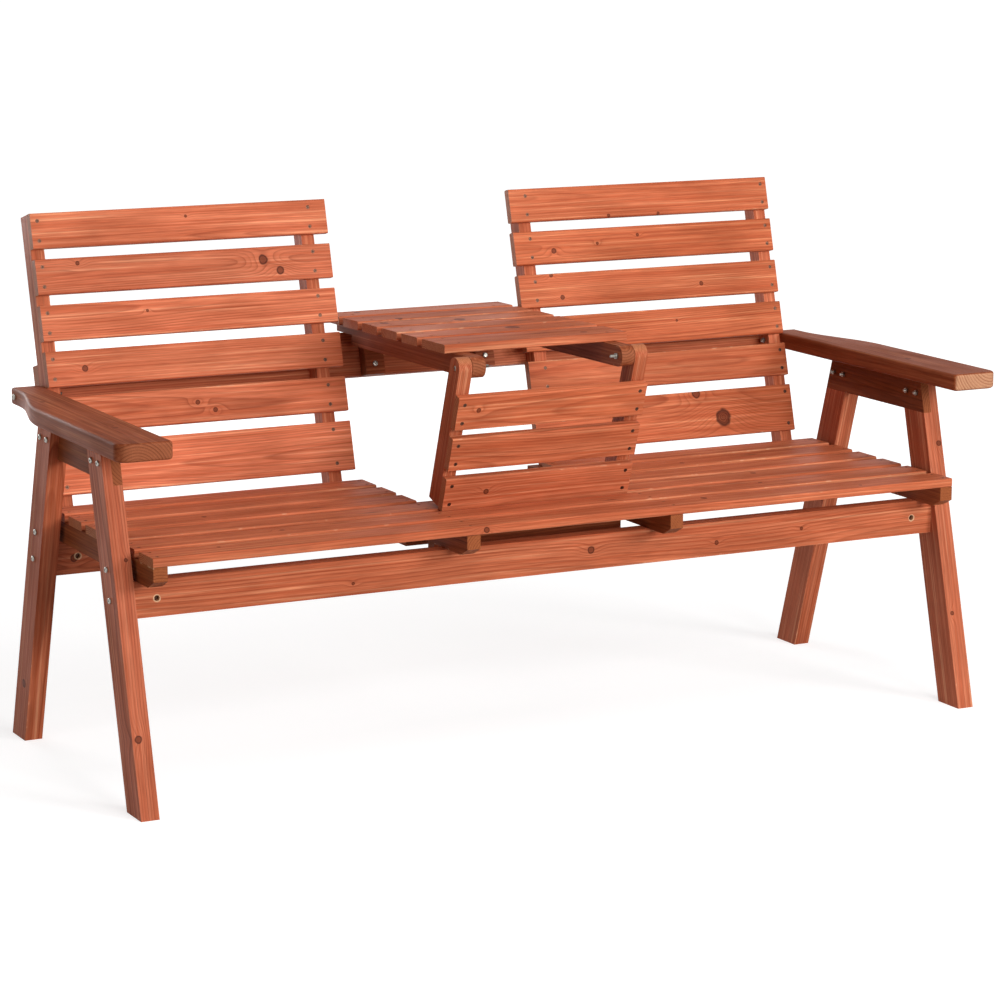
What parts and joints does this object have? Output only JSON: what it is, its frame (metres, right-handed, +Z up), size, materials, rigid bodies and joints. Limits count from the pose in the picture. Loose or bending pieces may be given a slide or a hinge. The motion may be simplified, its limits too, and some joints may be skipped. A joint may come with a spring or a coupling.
{
  "type": "companion seat bench",
  "caption": "Stained wooden companion bench: slatted seats with backs and armrests on both sides of a slatted table that folds down to fill the middle",
  "frame": {"origin": "On the floor, at the middle of the bench's length and of its depth from the armrests' front ends to the posts' rear top corners", "axes": "+X runs along the bench to the sitter's left-hand end (the viewer's right in the picture), +Y points to the back, +Z points up"},
  "size_m": [1.832, 0.7636, 0.9963],
  "materials": {
    "boards": "red-brown stain, satin",
    "hardware": "zinc plated"
  },
  "bodies": {
    "bench": {"arm_rail_left": "boards", "arm_rail_right": "boards", "armrest_left": "boards", "armrest_right": "boards", "back_slat_1_left": "boards", "back_slat_1_right": "boards", "back_slat_2_left": "boards", "back_slat_2_right": "boards", "back_slat_3_left": "boards", "back_slat_3_right": "boards", "back_slat_4_left": "boards", "back_slat_4_right": "boards", "back_slat_5_left": "boards", "back_slat_5_right": "boards", "back_slat_6_left": "boards", "back_slat_6_right": "boards", "bench_fasteners": "hardware", "centre_stretcher": "boards", "cross_rail": "boards", "end_joist_left": "boards", "end_joist_right": "boards", "front_apron": "boards", "front_leg_left": "boards", "front_leg_right": "boards", "guide_block_left": "boards", "guide_block_right": "boards", "inner_post_left": "boards", "inner_post_right": "boards", "middle_joist_left": "boards", "middle_joist_right": "boards", "outer_post_left": "boards", "outer_post_right": "boards", "rear_apron": "boards", "rear_leg_left": "boards", "rear_leg_right": "boards", "seat_slat_1": "boards", "seat_slat_2": "boards", "seat_slat_3": "boards", "seat_slat_4_left": "boards", "seat_slat_4_right": "boards", "seat_slat_5_left": "boards", "seat_slat_5_right": "boards", "seat_slat_6_left": "boards", "seat_slat_6_right": "boards", "support_board": "boards"},
    "leg_panel": {"leg_panel_arm_left": "boards", "leg_panel_arm_right": "boards", "leg_panel_fasteners": "hardware", "leg_panel_slat_1": "boards", "leg_panel_slat_2": "boards", "leg_panel_slat_3": "boards"},
    "table": {"table_fasteners": "hardware", "table_rail_left": "boards", "table_rail_right": "boards", "table_slat_1": "boards", "table_slat_2": "boards", "table_slat_3": "boards", "table_slat_4": "boards", "table_slat_5": "boards", "table_slat_6": "boards"}
  },
  "joints": [
    {"name": "panel_swing", "type": "hinge", "parent": "bench", "child": "leg_panel", "pos_m": [0, -0.12872, 0.42606], "axis": [1, 0, 0], "range_deg": [-108.4, 0]},
    {"name": "table_fold", "type": "hinge", "parent": "leg_panel", "child": "table", "pos_m": [0, -0.23218, 0.73726], "axis": [1, 0, 0], "range_deg": [0, 184.15]}
  ],
  "couplings": [
    {"joint": "table_fold", "follows": "panel_swing", "ratio": -1.6988}
  ]
}
